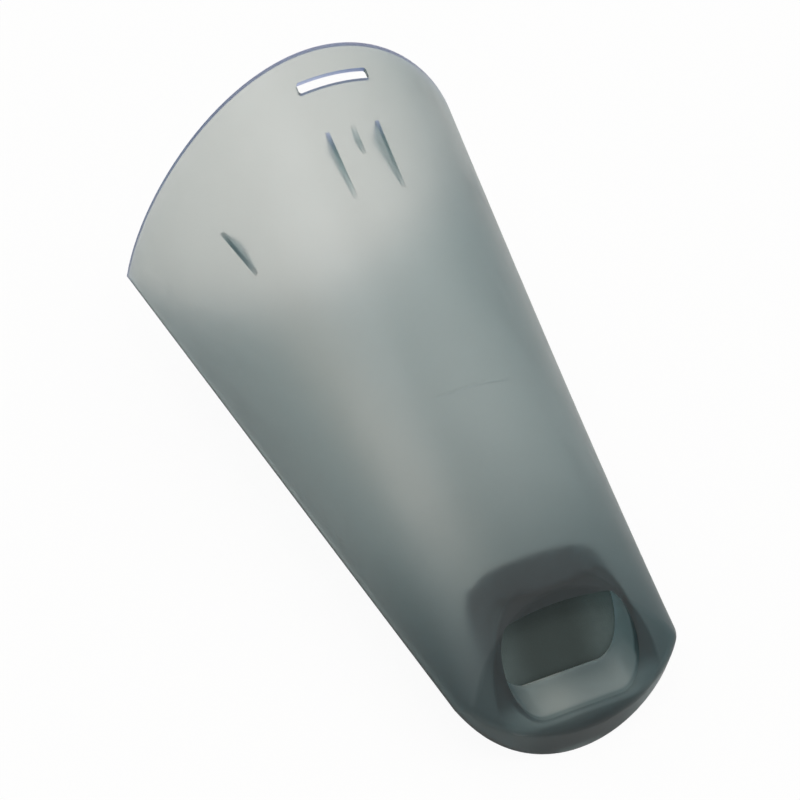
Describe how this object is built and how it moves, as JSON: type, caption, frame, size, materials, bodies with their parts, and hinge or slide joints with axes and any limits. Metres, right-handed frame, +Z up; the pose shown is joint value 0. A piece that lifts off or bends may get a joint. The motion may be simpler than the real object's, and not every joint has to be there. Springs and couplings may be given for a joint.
{
  "type": "vacuum dust container",
  "caption": "Smoked clear dust container of a hand-held vacuum cleaner: a tapering shell with an open mouth, a latch slot, guide ribs and a slanted inlet with a rubber flap.",
  "frame": {"origin": "on the surface it lies on, under the middle of its keel", "axes": "+Y from the nose to the mouth, +Z up, +X across"},
  "size_m": [0.1196, 0.2, 0.1029],
  "materials": {
    "smoked_plastic": "smoked see-through moulding",
    "flap_rubber": "matte"
  },
  "bodies": {
    "container": {"dust_container": "smoked_plastic"},
    "flap": {"inlet_flap": "flap_rubber"}
  },
  "joints": [
    {"name": "flap_hinge", "type": "hinge", "parent": "container", "child": "flap", "pos_m": [0, -0.05472, 0.03306], "axis": [1, 0, 0], "range_deg": [0, 25], "stiffness_Nm_per_rad": 0.002, "springref_deg": -34.38}
  ]
}
